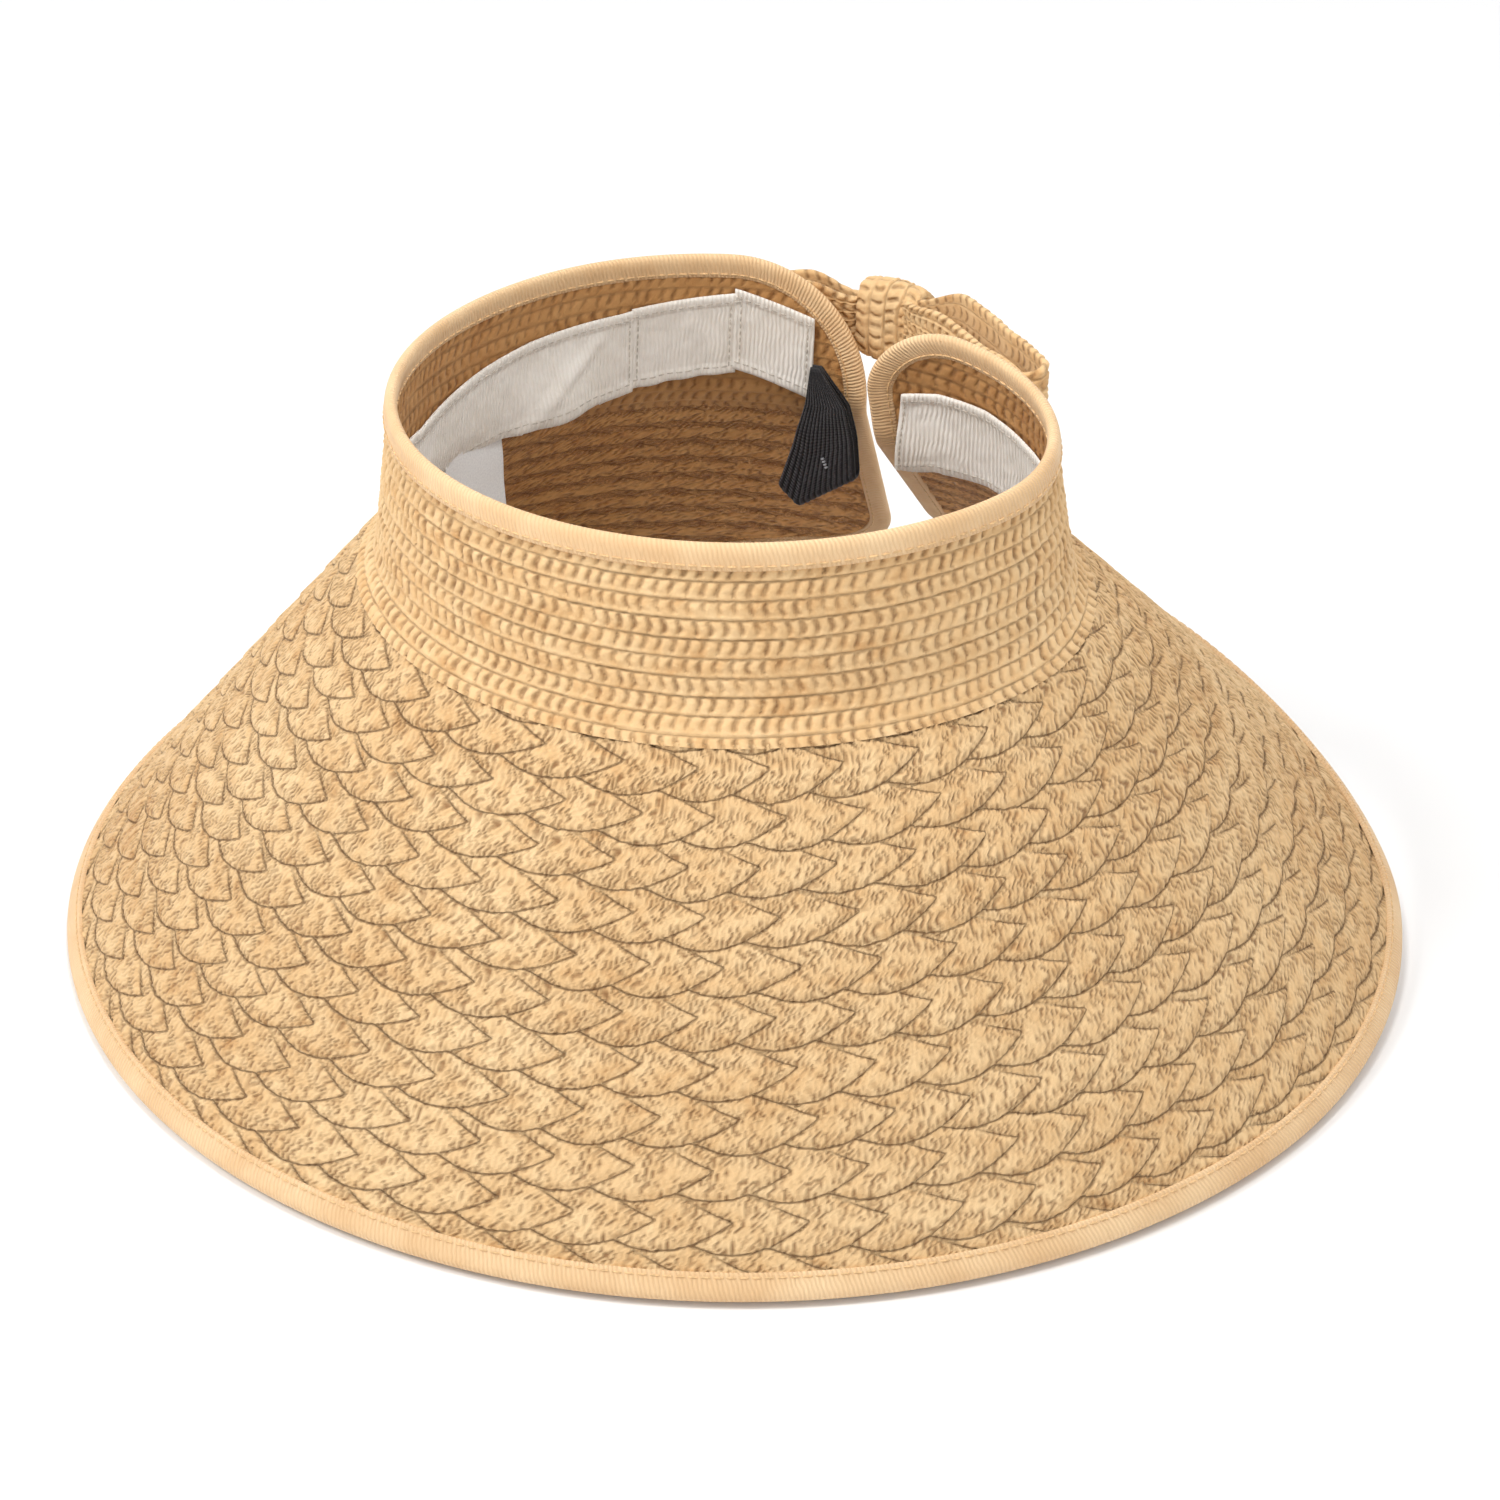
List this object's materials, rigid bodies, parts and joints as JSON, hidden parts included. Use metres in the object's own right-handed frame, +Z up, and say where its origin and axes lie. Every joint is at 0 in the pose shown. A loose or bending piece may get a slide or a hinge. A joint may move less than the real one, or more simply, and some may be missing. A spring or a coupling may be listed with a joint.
{
  "type": "sun visor",
  "caption": "Wide-brim roll-up straw sun visor: open crown, plaited brim, inner sweatband, blank label, elastic keeper, and an open back bridged by a straw bow.",
  "frame": {"origin": "centre of the bounding box, on the surface that the brim's front edge stands on", "axes": "+Z up, -Y the way the wearer faces, +X to the right when seen from the front"},
  "size_m": [0.3698, 0.3302, 0.1576],
  "materials": {
    "straw": "sewn paper-straw braid, natural",
    "binding": "cross-ribbed folded tape",
    "sweatband": "ribbed off-white cotton",
    "label": "smooth satin, blank",
    "elastic": "ribbed black elastic",
    "fastener": "hook and loop tape"
  },
  "bodies": {
    "root": {"crown_braid": "straw", "brim_braid": "straw", "rim_binding": "binding", "brim_binding": "binding", "left_end_binding": "binding", "right_end_binding": "binding", "sweatband_main": "sweatband", "sweatband_left_panel": "sweatband", "sweatband_left_end": "sweatband", "sweatband_right_end": "sweatband", "closure_loop_strip": "fastener", "bow_left_loop": "straw"},
    "bow_tab": {"bow_knot": "straw", "bow_right_loop": "straw", "closure_hook_strip": "fastener"},
    "keeper": {"keeper_loop": "elastic"},
    "label": {"care_label": "label"}
  },
  "joints": [
    {"name": "bow_opens", "type": "hinge", "parent": "root", "child": "bow_tab", "pos_m": [-0.0172, 0.117, 0.1284], "axis": [0, 0, 1], "range_deg": [0, 75]},
    {"name": "keeper_swings", "type": "hinge", "parent": "root", "child": "keeper", "pos_m": [-0.02449, 0.10172, 0.11943], "axis": [-0.9763, -0.2164, 0], "range_deg": [0, 90]},
    {"name": "label_swings", "type": "hinge", "parent": "root", "child": "label", "pos_m": [-0.09253, 0.02486, 0.10508], "axis": [-0.0523, -0.9986, 0], "range_deg": [0, 80]}
  ]
}
